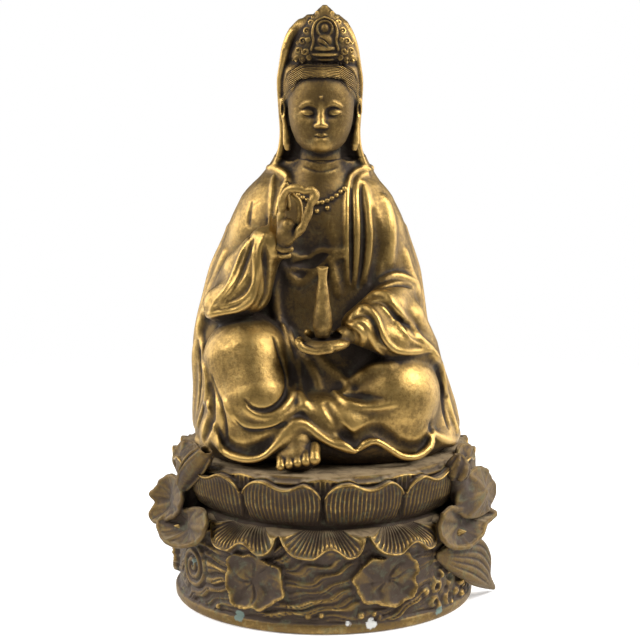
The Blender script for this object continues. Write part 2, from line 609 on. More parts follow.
def model_head(clay):
    clay.loft(VEIL, 2.9, 2)
    for side in (-1, 1):
        edge = mirrored(VEIL_EDGE, side, -2)
        backing = mirrored([[x - 2.4, y + 4.5, z] for x, y, z in VEIL_EDGE[1:]], side, -2)
        clay.limb(curve(backing, 3), 3.6, 2)
        rim = curve(edge, 3)
        places = [0, 2, 5, 9, len(rim) - 6, len(rim) - 1]
        taper = np.interp(np.arange(len(rim)), places, [0.8, 2, 2.2, 1.6, 1.6, 0.7])
        clay.limb(rim, taper, 3)
    clay.loft(HAIR, 2.5, 1)
    clay.loft(HAIRLINE, 2.2, 0.6, cut=True)
    clay.loft(FACE, 2.15, 1)
    for side in (-1, 1):
        ear = mirrored([place for place, _ in EAR], side, FACE_MIDDLE)
        clay.limb(ear, [thick for _, thick in EAR], 0.8)
        clay.ball(mirrored([[18.9, -9.2, 170]], side, FACE_MIDDLE)[0], [0.9, 2, 3.4], 0.5, cut=True)
        for n in range(LOCKS):
            t = (n + 0.5) / LOCKS
            lock = mirrored([[x, mix(upper, lower, t)] for x, upper, lower in COMBED], side, FACE_MIDDLE)
            clay.fold(lock, LOCK_WIDTH / 2, -0.75, softness=0.4, ends=0.5)


def model_face(clay):
    third = (FACE_HAIRLINE - FACE_CHIN) / 3
    brow = FACE_HAIRLINE - third
    nose_foot = FACE_CHIN + third
    mouth = nose_foot - third * 0.36
    eye = brow - third * 0.35
    front, middle = FACE_FRONT, FACE_MIDDLE
    for side in (-1, 1):
        def line(points, height):
            return mirrored([[x, height + z] for x, z in points], side, middle)
        clay.ball([middle + side * 5.9, front - 0.9, eye], [4.8, 3, 2.8], 2.4, cut=True)
        clay.ball([middle + side * 6.2, front + 4.2, eye - 0.2], [4.4, 3.7, 2.6], 0.8)
        clay.fold(line([[2.2, -0.6], [4.4, -1.4], [7.4, -1.5], [10.2, -0.2]], eye), 0.42, -0.4, softness=0.2)
        clay.fold(line([[2.6, 1.3], [6.2, 2.5], [10, 1]], eye), 0.45, -0.3, softness=0.3)
        clay.fold(line([[2.2, -0.8], [5.8, 0.9], [10, -1.2]], brow), 0.9, 0.4, softness=1.2)
        clay.ball([middle + side * 2.2, front - 0.1, nose_foot + 1.3], [1.4, 1.7, 1.3], 0.8)
    clay.limb([[middle, front + 1.6, brow - 1], [middle, front - 1.3, nose_foot + 2.2]], [1.6, 1.9], 2)
    upper_lip = [[-4, 1.6, 0.2], [-1.4, 0.2, 1], [0, 0.3, 0.7], [1.4, 0.2, 1], [4, 1.6, 0.2]]
    lower_lip = [[-3.1, 1.5, -1], [0, 0.2, -1.5], [3.1, 1.5, -1]]
    for lip, thick in ((upper_lip, 0.75), (lower_lip, 0.9)):
        clay.limb(curve([[middle + x, front + y, mouth + z] for x, y, z in lip], 0.8), thick, 0.6)
    parting = [[-4.3, 0.4], [-1.5, 0], [0, -0.2], [1.5, 0], [4.3, 0.4]]
    clay.fold([[middle + x, mouth + z] for x, z in parting], 0.45, -0.4, softness=0.25, ends=0.6)
    clay.ball([middle, front + 4, FACE_CHIN + 3.6], [5, 4.4, 3.6], 3)
    mark = clay.meet([middle, brow + 3.6], "front")[0]
    clay.ball([middle, mark, brow + 3.6], 0.9, 0.2)


def curl(middle, reach, end):
    """A curled scroll seen from the front, from its eye out to its end."""
    turn = np.linspace(0, 1, 15)
    angle = np.radians(end - 460 * (1 - turn))
    out = reach * mix(0.25, 1, turn)
    return np.stack([middle[0] + out * np.cos(angle), middle[1] + out * np.sin(angle)], axis=1)


def model_crown(clay):
    clay.loft(CROWN, 3, 1)
    # The medallion: a figure seated on a lotus before a halo, with curled scrolls on both sides.
    turn = np.linspace(0, 2 * np.pi, 17)
    head_height = CROWN_FIGURE[0][0]
    halo = [CROWN_MIDDLE + HALO_RADIUS * np.sin(turn), head_height + HALO_RADIUS * np.cos(turn)]
    panel = clay.meet([[CROWN_MIDDLE, z] for z, _ in CROWN_FIGURE], "front")
    clay.fold(np.stack(halo, axis=1), 0.55, 0.6, softness=0.3, ends=1)
    for (z, radii), y in zip(CROWN_FIGURE, panel):
        clay.ball([CROWN_MIDDLE, y + 0.5, z], radii, 0.4)
    for line in SASH_LINES:
        clay.fold(line, 0.4, -0.4, softness=0.2, ends=0.6)
    for side in (-1, 1):
        clay.fold(mirrored(CROWN_ARCH, side, CROWN_MIDDLE), 0.6, 0.8, softness=0.3, ends=0.8)
        for scroll in CROWN_CURLS:
            clay.fold(mirrored(curl(*scroll), side, CROWN_MIDDLE), 0.55, 0.75, softness=0.3, ends=0.7)
    foot = curve([[-15, 195.2], [-8, 194], [0.3, 193.7], [8.6, 194], [15.6, 195.2]], 2.2 * CROWN_BEAD)
    for (x, z), y in zip(foot, clay.meet(foot, "front")):
        clay.ball([x, y, z], CROWN_BEAD, 0.2)


def model_sleeves(clay):
    # The right sleeve hangs open from the raised wrist.
    clay.limb([[-44, -8, 74], [-38, -24, 92], [-28, -32, 107]], [14, 12, 9], 3)
    clay.limb([[-31, -31, 100], [-37, -32, 84], [-50, -26, 76]], [9, 11.5, 9.5], 3)
    clay.limb([[-37, -47, 104], [-37.5, -48, 90], [-46, -43, 79]], [3, 6.5, 4.5], 1.2, cut=True)
    # The left sleeve lies over the knee from the lowered wrist.
    clay.limb([[35, -8, 78], [30, -27, 74], [17, -40, 68]], [12, 11, 8.8], 3)
    clay.limb([[22, -38, 66], [34, -37, 60], [48, -24, 50]], [9.5, 9, 8], 3)
    clay.limb([[40, -20, 68], [47, -16, 52], [52, -14, 36]], [10, 10, 9], 4)


def model_folds(clay):
    for points, wide, proud in FRONT_FOLDS:
        clay.fold(points, wide, proud, softness=1.6 * wide)
    for points, wide, deep in FRONT_GROOVES:
        clay.fold(points, wide, -deep, softness=1.2 * wide)
    for points, wide, proud in BACK_FOLDS:
        clay.fold(points, wide, proud, side="back", softness=1.6 * wide)
    for points, wide, proud in SIDE_FOLDS:
        for side in ("left", "right"):
            clay.fold(points, wide, proud, side=side, softness=1.6 * wide)


def model_necklace(clay):
    for crease in NECK_CREASES:
        clay.fold(crease, 0.7, -0.35, softness=0.6)
    for x, z in [*curve(NECKLACE, 2 * BEAD), *NECKLACE_DROPS]:
        clay.ball([x, clay.meet([x, z], "front")[0] - 0.3, z], BEAD, 0.3)


def carve(clay):
    """The robed figure without its hands and foot."""
    model_body(clay)
    model_hem(clay)
    model_chest(clay)
    model_head(clay)
    model_face(clay)
    model_crown(clay)
    model_sleeves(clay)
    model_folds(clay)
    model_necklace(clay)
    clay.flatten(0)


def model_foot(clay):
    clay.limb([[-14, -40, 18], [-13, -52, 12], [-13, -56, 7.5]], [9, 8.2, 7], 2)
    clay.ball([-13, -56, 6], [10.6, 7.8, 7], 1.5)
    toes = 5
    for n in range(toes):
        # The big toe is the fifth counted from the little one.
        share = n / (toes - 1)
        x = mix(-21, -4.6, share)
        r = mix(2.2, 3, share ** 2)
        drop = mix(3.4, 7, share)
        clay.limb([[x, -57, drop + 4.2], [x, -62, drop + 1.8], [x, -63.6, drop]], [r, 0.9 * r, r], 0.4)
    clay.flatten(0)


def model_raised_hand(clay):
    wrist = [[-26, -29, 103], [-20, -36, 108], [-18.2, -39, 114], [-17.6, -40, 117.4]]
    clay.limb(wrist, [5.4, 4.4, 4.8, 3.8], 1.5)
    palm = [[-19.6, -38, 112], [-20.6, -38.4, 122]]
    clay.limb(palm, [2.8, 2.3], 1.2)
    upper_cuff = [[-28.6, -33, 112.4], [-25.4, -37, 108.6], [-20.6, -39.4, 105.6], [-16.4, -37, 105.4]]
    lower_cuff = [[-28, -34, 108.2], [-25.6, -36.6, 105], [-21, -38, 102.4], [-17.4, -35.6, 102]]
    for cuff, thick in ((upper_cuff, 1.6), (lower_cuff, 1.5)):
        clay.limb(curve(cuff, 1.5), thick, 1)
    # Forefinger and thumb meet in a ring, and the other fingers bend behind it.
    forefinger = [
        [-20.4, -38, 118], [-20.2, -39, 127.9], [-19, -40.4, 133], [-16.4, -41.6, 135.6],
        [-12.4, -42.6, 136], [-9.4, -43.4, 135], [-6.2, -44, 135.4], [-4.4, -44.4, 133.4],
    ]
    thumb = [
        [-17.4, -40, 110], [-13.6, -41.6, 113.4], [-10.2, -43, 117.9], [-8, -44, 123.4],
        [-6.6, -44.6, 128.5], [-4.8, -44.8, 131.6],
    ]
    # The joints are a little thicker than the bones between them.
    for finger in (forefinger, thumb):
        line = curve(finger, 1.2)
        t = np.linspace(0, 1, len(line))
        clay.limb(line, 2 * (1 + 0.13 * np.cos(6 * np.pi * t)), 1)
    bent_finger = [[-12.6, -39, 116], [-11.6, -39.6, 124], [-12.6, -39.4, 129.6], [-15.4, -39, 132]]
    clay.limb(curve(bent_finger, 1.5), 1.5, 0.4)
    for n in range(3):
        y = -35 + 2 * n
        top = 131.6 - n
        bent = [[-20, y, 120], [-20.6, y + 1, top - 2.6], [-18.6, y + 3.4, top], [-17.6, y + 5, top - 5.6]]
        clay.limb(curve(bent, 1.5), 1.6, 0.4)


def model_vase_hand(clay):
    clay.limb([[17, -41, 67], [9, -46, 64]], [5.4, 4.6], 2)
    clay.ball([1, -49.5, 60.6], [11.5, 8.2, 3.8], 1.5, turn=("y", -4))
    clay.ball([0, -50, 65.2], [8.5, 5.6, 2.6], 0.8, cut=True)
    fingers = 4
    for n in range(fingers):
        y = mix(-46, -56.5, n / (fingers - 1))
        tip = -11.5 - 1.2 * math.sin(math.pi * (n + 0.5) / fingers)
        finger = [[3, y, 59.6], [-4, y, 58.6], [tip + 2, y + 0.6, 60], [tip, y + 1, 62]]
        clay.limb(curve(finger, 1.5), 1.75, 0.5)
    thumb = [[9, -43, 63], [2, -42.5, 64.6], [-5, -44, 64], [-8, -45.4, 66]]
    clay.limb(curve(thumb, 1.5), 1.8, 0.5)
    clay.turned([-0.8, -48], VASE, 0.5)


# The plinth. Its body is drawn in columns round its axis. An angle is measured from the front towards the
# figure's left, in degrees, and a column is a run of points of angle, radius and height.
SEAT_RADIUS = 69.0
FOOT_RADIUS = 76.0
FOOT_BAND = 6.0
DRUM_RADIUS = 73.8
GROOVE_RADIUS, GROOVE_LOW, GROOVE_HIGH = 65.0, 50.6, 52.8
PETALS = 11
FLUTES = 19
PITCH = 360 / PETALS
PETAL_TURN = 2.3
COLUMNS_PER_FLUTE = 4
FLUTE_DEPTH = 1.1
GAP_FLUTES = 4

# Shares of half the pitch that a petal takes, by height, and how far an upper one bulges from the groove.
UPPER_SPREAD = [[52.8, 0.88], [58, 0.94], [64, 0.97], [70, 0.94], [74, 0.86], [78, 0.8]]
UPPER_BULGE = [[52.8, 1.5], [56, 5], [62, 8.2], [68, 9.2], [73, 9], [76, 9.6]]
LOWER_SPREAD_AT_RIM, LOWER_SPREAD_AT_ROOT = 0.95, 0.5
LOWER_RIM_RADIUS, LOWER_RIM_HEIGHT = 81.5, 40.4
# The lower petals give way behind the cupped leaves: at which angles, within what reach and how far.
CUPS_AT = [-61, 62]
CUP_REACH = 30
CUP_YIELD = 7.5

# Hanging lotus leaves on the drum, each with its angle, height, half width and half height.
DRUM_LEAVES = [
    [-27.5, 24.5, 15, 13.5], [24.5, 26, 16, 12.5], [108, 24, 15, 12.5],
    [160, 26, 15, 12.5], [-146, 25, 15, 13], [-97, 22, 14, 12.5],
]
# Whirls of water, each with its angle and height.
SWIRLS = [[-60, 24], [134, 24], [-121, 23]]
SWIRL_REACH = 17
RINGS_APART = 4.2
# Heaps of rock, each with its angle, height, half width and half height, and the knobs and pits in each.
ROCKS = [[60, 15, 27, 12], [-175, 13, 25, 11]]
KNOBS = 22
PITS = 16
# Pebbles along the foot, each with its angle, height and reach.
PEBBLES = [
    [-6, 9.5, 2.4], [-1, 10, 2], [14, 9, 2.4], [19, 9.5, 2], [21, 7.5, 1.8], [-20, 9, 1.8], [-44, 8, 2],
]
STRANDS = 15  # of driftwood, that one upright line round the drum crosses
# Their sizes: how many times finer, width and height.
STRAND_SIZES = [[1, 5.6, 2.9], [2, 2.8, 1.6], [4, 1.4, 0.6]]
LEAF_WALL = 1.0  # half the thickness

# Rounded edges, each point as radius and height: of the foot band, and of the lips of both tiers.
FOOT_EDGE = [[-2.2, 0], [-0.9, 0.5], [-0.2, 1.6], [0, FOOT_BAND - 1.5], [-0.6, FOOT_BAND - 0.6]]
LOWER_LIP = [[-2.2, -1.6], [-1.1, -1.1], [-0.3, -0.7], [0, -0.3], [-0.1, 0], [-0.5, 0.1], [-1, 0]]
UPPER_LIP = [[0.5, 0.1], [0.8, 0.6], [0.5, 1.1], [-0.4, 1.2]]
SEAT_RINGS = [60, 48, 30, 12]  # radii of the rows across the flat seat
DRUM_ROWS = 46
LOWER_ROWS = 11
UPPER_ROWS = 14


def along(pairs, at):
    heights, values = zip(*pairs)
    return np.interp(at, heights, values)


class Tier:
    """Which petal of a tier each column runs over: across goes from -1 to 1 over the petal, and gap_share from
    0 to 1 between it and the next one."""

    def __init__(self, column, turn):
        flutes = FLUTES + GAP_FLUTES
        place = column / COLUMNS_PER_FLUTE + turn * flutes
        n = np.floor(place / flutes)
        step = place - n * flutes
        self.n = n % PETALS
        self.centre = PETAL_TURN + PITCH * (n + (FLUTES / 2) / flutes - turn)
        self.on_petal = step <= FLUTES
        self.across = np.where(self.on_petal, 2 * step / FLUTES - 1, 1)
        self.gap_share = (step - FLUTES) / GAP_FLUTES
        self.flute = (0.5 - 0.5 * np.cos(2 * np.pi * step)) ** 1.3

    def angle(self, spread):
        share = np.where(self.on_petal, spread * self.across, mix(spread, 2 - spread, self.gap_share))
        return self.centre + share * PITCH / 2


def arc(angle, centre):
    """The shorter way round from one angle to another, as millimetres on the drum."""
    return np.radians((angle - centre + 180) % 360 - 180) * DRUM_RADIUS


def driftwood(angle, z):
    """Rough strands of wood that slant round the drum, each with its own rise and fall."""
    turn = np.radians(angle)
    drift = 0.5 * np.sin(4 * turn + z / 11) + 0.32 * np.sin(9 * turn - z / 6)
    drift = drift + 0.14 * np.sin(23 * turn + z / 2.6)
    reach = -2
    for share, width, height in STRAND_SIZES:
        strand = z / width - angle * STRANDS * share / 360 + share * drift
        n = np.floor(strand) % (STRANDS * share)
        waves = 3 + np.floor(4 * chance(n, 1))
        rise = 0.65 + 0.35 * np.sin(waves * turn + 6.28 * chance(n, 2))
        reach = reach + height * rise * np.abs(np.sin(np.pi * strand)) ** 0.6
    return reach


def with_whirl(reach, across, up):
    """The drum's surface with the rings of a whirl of water on it."""
    d = np.hypot(across, up)
    whirl = d / RINGS_APART - np.arctan2(up, across) / (2 * np.pi)
    ring = 1.9 * np.abs(np.sin(np.pi * whirl)) ** 0.7 - 0.6
    return mix(reach, DRUM_RADIUS + 1 + ring, np.clip(2 * bump(d / SWIRL_REACH), 0, 1))


def with_rocks(reach, across, up, wide, high):
    """The drum's surface with a heap of rock on it, knobbly and pitted."""
    out_of_heap = np.hypot(across / wide, up / high)

    def away(n, count, turn):
        """How far each place is from one of many spots, which wind out from the heap's middle."""
        out = math.sqrt((n + 0.5) / count)
        angle = 2.4 * n + turn
        return np.hypot(across - wide * out * math.cos(angle), up - high * out * math.sin(angle))

    bed = DRUM_RADIUS - 1 + 2.4 * np.sqrt(bump(out_of_heap / 1.15))
    for n in range(KNOBS):
        size = 2.6 + 3.4 * chance(n, 3)
        knob = (1.2 + 4.4 * chance(n, 4)) * np.sqrt(bump(away(n, KNOBS, 0) / size))
        bed = np.maximum(bed, DRUM_RADIUS + knob)
    for n in range(PITS):
        bed = bed - 5 * bump(away(n, PITS, 1) / (1.8 + 2 * chance(n, 5)))
    return mix(reach, bed, np.clip(2.5 * (1.1 - out_of_heap), 0, 1))


def with_leaf(reach, u, v, own):
    """The drum's surface with a hanging leaf on it: dished, veined and wavy, each in its own way."""
    turn = np.arctan2(v, u)
    edge = 1 + 0.05 * np.sin(7 * turn + own) + 0.06 * np.sin(3 * turn + 2 * own) + 0.02 * np.sin(13 * turn)
    out = (np.abs(u) ** 2.6 + np.abs(v) ** 2.6) ** (1 / 2.6) / edge
    inner = np.clip(out, 0, 1)
    bent = 3 * turn + 0.9 * np.sin(2 * turn + own) + 0.5 * np.sin(6 * inner + 3 * turn)
    vein = np.abs(np.cos(bent + own)) ** 16 * np.clip(4 * inner, 0, 1) * (1 - inner ** 2)
    waves = 0.9 * np.sin(5 * u + own) * np.sin(4 * v + 1) + 0.6 * np.sin(7 * turn) * inner ** 3
    dish = 0.9 + 2.6 * inner ** 5 + waves * (1 - inner ** 8) - 1.3 * vein
    pit = -2 * bump(out / 0.14)
    leaf = DRUM_RADIUS + np.where(out < 1, dish + pit, 4.1 * (1 - (out - 1) / 0.08))
    return np.where(out < 1, leaf, np.maximum(reach, leaf))


def drum_radius(angle, z):
    reach = DRUM_RADIUS + driftwood(angle, z)
    for at, height in SWIRLS:
        reach = with_whirl(reach, arc(angle, at), z - height)
    for at, height, wide, high in ROCKS:
        reach = with_rocks(reach, arc(angle, at), z - height, wide, high)
    for at, height, wide, high in DRUM_LEAVES:
        reach = with_leaf(reach, arc(angle, at) / wide, (z - height) / high, at)
    for at, height, size in PEBBLES:
        d = np.hypot(arc(angle, at), z - height)
        reach = np.maximum(reach, DRUM_RADIUS + 2.6 * np.sqrt(bump(d / size)))
    return reach


def lower_tier(even, lower):
    """Rows over the drum and the lower petals, whose rim hangs in two lobes with a hump between them."""
    rows = []
    lean = 0.25 * np.cos(1.9 * lower.n - 0.7)
    side = np.abs(lower.across)
    towards = lower.across * np.sign(lean)
    lift = 5 * bump((lower.across - lean) / 0.42) + np.where(towards > 0, 8.5 * side ** 10, 9.6 * side ** 5)
    rim_height = LOWER_RIM_HEIGHT + np.where(lower.on_petal, lift, 8.4)
    rim_angle = lower.angle(LOWER_SPREAD_AT_RIM)
    rim_radius = LOWER_RIM_RADIUS - np.where(lower.on_petal, 3.4 * side ** 4, 7)
    for cup in CUPS_AT:
        rim_radius = rim_radius - CUP_YIELD * bump(arc(rim_angle, cup) / CUP_REACH)
    hump = np.where(lower.on_petal, bump((lower.across - lean) / 0.5), 0)
    for n in range(DRUM_ROWS + 1):
        z = mix(FOOT_BAND, rim_height - 3.4, n / DRUM_ROWS)
        angle = mix(even, rim_angle, (n / DRUM_ROWS) ** 4)
        # Under a hump the petal's outer side shows, and swells from the drum to the rim.
        swell = hump * 5.4 * np.clip((z - 33) / 9, 0, 1) ** 2
        rows.append((angle, drum_radius(angle, z) + swell, z))
    rows += [(rim_angle, rim_radius + out, rim_height + up) for out, up in LOWER_LIP]
    for n in range(LOWER_ROWS):
        t = (n + 0.5) / LOWER_ROWS
        flute = FLUTE_DEPTH * np.where(lower.on_petal, lower.flute, 0) * min(1, 7 * t, 3 * (1 - t))
        z = mix(rim_height - 0.2, GROOVE_LOW, t ** 0.8)
        radius = mix(rim_radius - 1.3, GROOVE_RADIUS + 1.5, t ** 1.1)
        angle = lower.angle(mix(LOWER_SPREAD_AT_RIM, LOWER_SPREAD_AT_ROOT, t))
        rows.append((angle, radius + flute, z + 0.7 * flute))
    return rows


def upper_tier(even, upper, column):
    """Rows over the upper petals, which curl out at their rim, then over the fluted back row that shows
    between them and over the seat's edge."""
    rows = []
    sway = 0.14 * np.sin(2.6 * upper.n + 1)
    side = np.abs(upper.across)
    tip = np.where(upper.on_petal, 75 - 3.4 * bump((upper.across - sway) / 0.6) - 7.4 * side ** 7, 67.6)
    back = np.where(upper.on_petal, 2.4 * side ** 5, 4.4)
    for n in range(UPPER_ROWS + 1):
        t = n / UPPER_ROWS
        z = mix(GROOVE_HIGH, tip, t)
        flute = FLUTE_DEPTH * upper.flute * min(1, 6 * t, 5 * (1 - t))
        curl_out = np.where(upper.on_petal, 2.2 * t ** 8, 0)
        radius = GROOVE_RADIUS + along(UPPER_BULGE, z) - back * min(1, 3 * t) + flute + curl_out
        rows.append((upper.angle(along(UPPER_SPREAD, z)), radius, z))
    turn, rim, _ = rows[-1]
    for out, up in UPPER_LIP:
        lip_up = np.where(upper.on_petal, up, 0.1 + up / 3)
        rows.append((turn, rim + np.where(upper.on_petal, out, 0), tip + lip_up))
    between_petals = np.where(upper.on_petal, np.clip((side - 0.2) / 0.8, 0, 1) ** 2, 1)
    back_tip = np.maximum(tip + 1.4, 75.4 + 1.4 * between_petals - 0.8 * bump(between_petals / 0.9))
    fine = 0.55 * np.cos(2 * np.pi * column / COLUMNS_PER_FLUTE) * between_petals
    for t in (0.04, 0.3, 0.6, 0.88):
        rows.append((turn, SEAT_RADIUS + mix(2.9, 3.9, t) + fine, mix(tip + 1.1, back_tip, t)))
    rows += [(turn, SEAT_RADIUS + out, back_tip + up) for out, up in ((4.2, 0), (3.6, 0.7), (2.4, 0.6))]
    rows.append((mix(turn, even, 0.5), SEAT_RADIUS + 1, PLINTH_HEIGHT - 0.5))
    return rows


def plinth_columns():
    """Rows of angle, radius and height over all the columns, from the foot up to the seat."""
    count = PETALS * (FLUTES + GAP_FLUTES) * COLUMNS_PER_FLUTE
    column = np.arange(count)
    even = PETAL_TURN + 360 * column / count
    rows = [(even, FOOT_RADIUS + out, up) for out, up in FOOT_EDGE]
    rows += lower_tier(even, Tier(column, 0.5))
    rows.append((even, GROOVE_RADIUS, (GROOVE_LOW + GROOVE_HIGH) / 2))
    rows += upper_tier(even, Tier(column, 0), column)
    rows += [(even, radius, PLINTH_HEIGHT) for radius in (SEAT_RADIUS, *SEAT_RINGS)]
    return np.array([np.broadcast_arrays(*row) for row in rows])


def plinth_body():
    """The plinth's body as closed points and triangles: columns side by side, the seat and the underside."""
    angle, radius, z = plinth_columns().transpose(1, 0, 2)
    turn = np.radians(angle)
    points = np.stack([radius * np.sin(turn), -radius * np.cos(turn), z], axis=-1)
    rows, columns = z.shape
    index = np.arange(rows * columns).reshape(rows, columns)
    beside = np.roll(index, -1, axis=1)
    low, high, low_beside, high_beside = index[:-1], index[1:], beside[:-1], beside[1:]
    foot, seat = rows * columns, rows * columns + 1
    triangles = [np.stack([low, low_beside, high_beside], -1), np.stack([low, high_beside, high], -1)]
    triangles.append(np.stack([np.full(columns, foot), beside[0], index[0]], -1))
    triangles.append(np.stack([np.full(columns, seat), index[-1], beside[-1]], -1))
    points = np.vstack([points.reshape(-1, 3), [[0, 0, 0], [0, 0, PLINTH_HEIGHT]]])
    return points, np.vstack([t.reshape(-1, 3) for t in triangles])


# The leaves at the plinth's sides: the deepest place of each, then its rim, as points in space.
RIGHT_BACK_LEAF = [-72, -17, 72], [
    [-72, -12, 63], [-76, -7, 72], [-72, -9, 79], [-66.5, -14, 81],
    [-63, -26, 80], [-66, -32, 74], [-70, -26, 65],
]
RIGHT_CURLED_LEAF = [-75, -20, 53], [
    [-72, -30, 66], [-78, -18, 65], [-85, -9, 56], [-88, -5, 52], [-84.5, -6, 47.5], [-88.5, -6, 42.5],
    [-86, -10, 39], [-80, -22, 43], [-74, -33, 49], [-70, -38, 58],
]
RIGHT_CUP = [-65.5, -38, 45], [
    [-79.5, -23, 45.5], [-83, -21, 41.5], [-82, -27, 37], [-77, -36, 35], [-70.5, -44, 35.8],
    [-63.5, -51, 39.5], [-58.5, -55, 46.5], [-57.5, -53.5, 52], [-60, -48, 55.5], [-67, -39, 53],
    [-74, -30, 50.5],
]
LEFT_BACK_LEAF = [71, -18, 71], [
    [66, -31, 74], [67, -23, 80], [71.5, -15, 80], [76, -9, 71], [73, -12, 62], [70, -27, 63],
]
LEFT_BROAD_LEAF = [80, -26, 59], [
    [70.5, -37, 70], [77, -27, 71.5], [82, -17, 66], [86, -9, 57], [84.5, -10, 49], [79, -24, 47],
    [70, -39, 50], [65, -43, 58],
]
LEFT_CUP = [66.5, -34, 46], [
    [58, -54, 54.5], [62, -48.5, 56.5], [67.5, -42, 54.5], [73, -33, 54.5], [80, -22, 50],
    [86.5, -11, 43.5], [81.5, -22, 41], [79, -28, 37.5], [73, -38, 34.5], [65.5, -47, 36],
    [59, -54, 41], [56.5, -55.5, 48],
]
# What the leaves grow from, on the figure's left, to be taken to either side.
LEAF_ROOT = [[66, -22, 38], [67, -20, 54], [64, -20, 72]]
# The hanging leaf's upper and lower edges, from its stem to its tip.
HANGING_LEAF = [
    [[56, -50, 34], [63, -43, 37], [76, -26, 35], [82, -16, 24], [83, -12, 12], [87, -5, 3]],
    [[56, -50, 31], [62, -44, 24], [69, -35, 17], [75, -26, 11], [81, -15, 6], [87, -5, 2]],
]
HANGING_FLUTES = 6
# The bud that leans inwards over the seat's edge, from its foot to its open tip, with its radii.
BUD = [[-70, -35, 65], [-66.5, -39.5, 72], [-62, -45, 79], [-58, -50.5, 85]], [3, 4.7, 4.9, 3.6]
BUD_RIBS = 7
# The closed flower: its middle and its petals' widths and heights, as they wind round it.
FLOWER = [66, -41.5]
FLOWER_PETALS = 5
FLOWER_WIDTHS = [3.4, 4, 4, 3.6, 2.8, 1.6]
FLOWER_HEIGHTS = [71, 81.5]


def leaf(clay, heart, rim, wall, bend=2.4):
    """A leaf as rings from its deepest place out to its rim, which stands up the more the larger the bend."""
    heart, rim = np.array(heart, float), curve([*rim, rim[0]], 1.4)
    step = np.arange(len(rim))
    rim *= 1 + 0.004 * (np.sin(0.5 * step) + 0.5 * np.sin(1.3 * step))[:, None]
    reach = rim - heart
    axis = reach.mean(0) / np.linalg.norm(reach.mean(0))
    up = (reach @ axis)[:, None] * axis
    shares = np.linspace(0, 1, math.ceil(np.linalg.norm(reach, axis=1).max() / (0.7 * wall)))
    rings = [heart + t * (reach - up) + t ** bend * up for t in shares]
    clay.sheet(rings, np.full((len(rings), len(rim)), wall), 1.2)
    clay.limb(rim, 1.1 * wall, 0.8)
    # Veins from its deepest place to its rim.
    for n in range(0, len(rim), 8):
        clay.limb([ring[n] for ring in rings[::3]], 1.15 * wall, 1.5)


def model_right_leaves(clay):
    clay.limb(mirrored(LEAF_ROOT, -1, 0), [8, 7.5, 6], 3)
    for form in (RIGHT_BACK_LEAF, RIGHT_CURLED_LEAF, RIGHT_CUP):
        leaf(clay, *form, LEAF_WALL)
    bud = curve(BUD[0], 2)
    clay.limb(bud, np.interp(np.linspace(0, 3, len(bud)), range(4), BUD[1]), 2)
    clay.limb([BUD[0][2], BUD[0][3], [-57, -51.5, 88]], [0.6, 2.3, 2.8], 0.5, cut=True)
    for n in range(BUD_RIBS):
        around = 2 * math.pi * n / BUD_RIBS
        ahead, aside = math.cos(around), 0.6 * math.sin(around)
        beside = np.array([ahead, aside, -0.5 * ahead + aside])
        rib = [np.array(p) + (r + 0.1) * beside for p, r in zip(*BUD)]
        clay.limb(curve(rib, 2), 0.75, 0.5)
    clay.flatten(0)


def model_left_leaves(clay):
    clay.limb(LEAF_ROOT, [8, 7.5, 6], 3)
    leaf(clay, *LEFT_BACK_LEAF, LEAF_WALL)
    leaf(clay, *LEFT_BROAD_LEAF, LEAF_WALL, bend=1.6)
    leaf(clay, *LEFT_CUP, LEAF_WALL)
    model_closed_flower(clay)
    model_hanging_leaf(clay)
    clay.flatten(0)


def model_closed_flower(clay):
    """A closed flower on its stalk, with petals wound round it."""
    x, y = FLOWER
    clay.ball([x, y, 75.6], [5, 5, 5.6], 1)
    clay.limb([[66, -40, 70], [67, -36, 60]], [4, 5], 2)
    steps = len(FLOWER_WIDTHS)
    for n in range(FLOWER_PETALS):
        turn = np.linspace(0, 1.1, steps) + 1.26 * n
        wide = np.array(FLOWER_WIDTHS)
        wound = [x + wide * np.cos(turn), y + wide * np.sin(turn), np.linspace(*FLOWER_HEIGHTS, steps)]
        clay.limb(np.stack(wound, axis=1), [2, 2.6, 2.6, 2.2, 1.7, 1], 0.3)


def model_hanging_leaf(clay):
    """A fluted leaf as rows side by side, from its upper edge to its lower one."""
    upper, lower = (curve(edge, 1.4) for edge in HANGING_LEAF)
    steps = min(len(upper), len(lower))
    upper, lower = (edge[np.linspace(0, len(edge) - 1, steps).astype(int)] for edge in (upper, lower))
    rows = []
    for t in np.linspace(0, 1, 37):
        row = mix(upper, lower, t)
        outward = row * [1, 1, 0] / np.linalg.norm(row[:, :2], axis=1, keepdims=True)
        flute = math.sin(math.pi * t) + 2.2 * abs(math.sin(math.pi * HANGING_FLUTES * t)) ** 0.7
        rows.append(row + flute * np.sin(np.linspace(0, math.pi, steps))[:, None] * outward)
    clay.sheet(rows, np.full((len(rows), steps), LEAF_WALL), 1.5)


def skin(clay):
    """The clay's surface as points in millimetres and quads."""
    band = 3 * clay.step
    grid = openvdb.FloatGrid(band)
    grid.copyFromArray(np.clip(clay.depth, -band, band))
    points, _, quads = grid.convertToPolygons(0.0, 0.0)
    return clay.low + points * clay.step, quads


